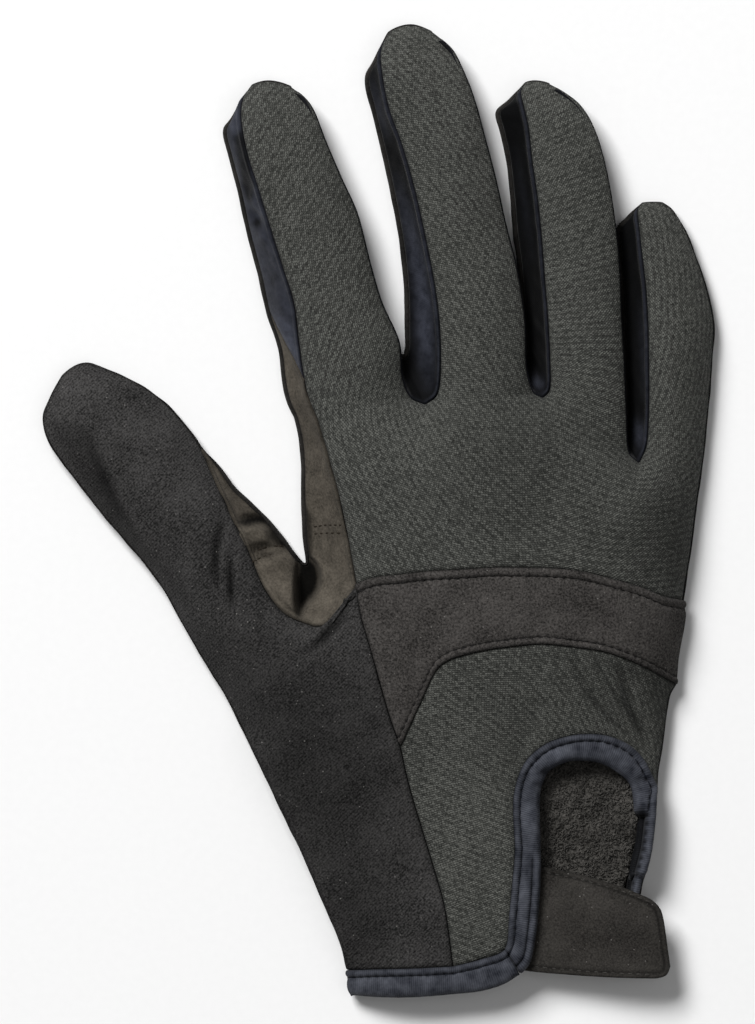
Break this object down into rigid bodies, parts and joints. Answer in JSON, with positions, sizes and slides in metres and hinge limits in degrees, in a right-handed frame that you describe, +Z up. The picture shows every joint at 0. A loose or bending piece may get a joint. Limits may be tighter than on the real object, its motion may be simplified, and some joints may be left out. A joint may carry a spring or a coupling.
{
  "type": "cycling glove",
  "caption": "Right-hand full-finger cycling glove lying on its palm, with a knit back, suede thumb and cross band, and a cuff slit closed by a strap.",
  "frame": {"origin": "middle of the glove's box, on the plane that the palm rests on", "axes": "+Y to the fingertips, +X to the little finger side, +Z up out of the back of the hand"},
  "size_m": [0.1644, 0.238, 0.0206],
  "materials": {
    "knit": "heathered stretch knit with a faint diagonal twill",
    "suede": "matt black-brown suede with cut edges and stitching",
    "brushed_suede": "brushed black-brown suede with soft folds",
    "gusset_suede": "brown suede, double stitched",
    "navy_cloth": "smooth dark navy stretch cloth",
    "palm_leather": "grained dark palm leather",
    "ribbed_binding": "ribbed navy binding, stitched",
    "loop_pile": "curly dark loop pile"
  },
  "bodies": {
    "root": {"back_panel": "knit", "wrist_panel": "knit", "cross_band": "suede", "closure_strap": "suede", "thumb_panel": "brushed_suede", "thumb_gusset": "gusset_suede", "index_side_wall": "navy_cloth", "fourchette_index_middle": "navy_cloth", "fourchette_middle_ring": "navy_cloth", "fourchette_ring_little": "navy_cloth", "palm_panel": "palm_leather", "keyhole_binding": "ribbed_binding", "cuff_binding": "ribbed_binding", "palm_cuff_binding": "ribbed_binding", "loop_pad": "loop_pile"}
  },
  "joints": []
}
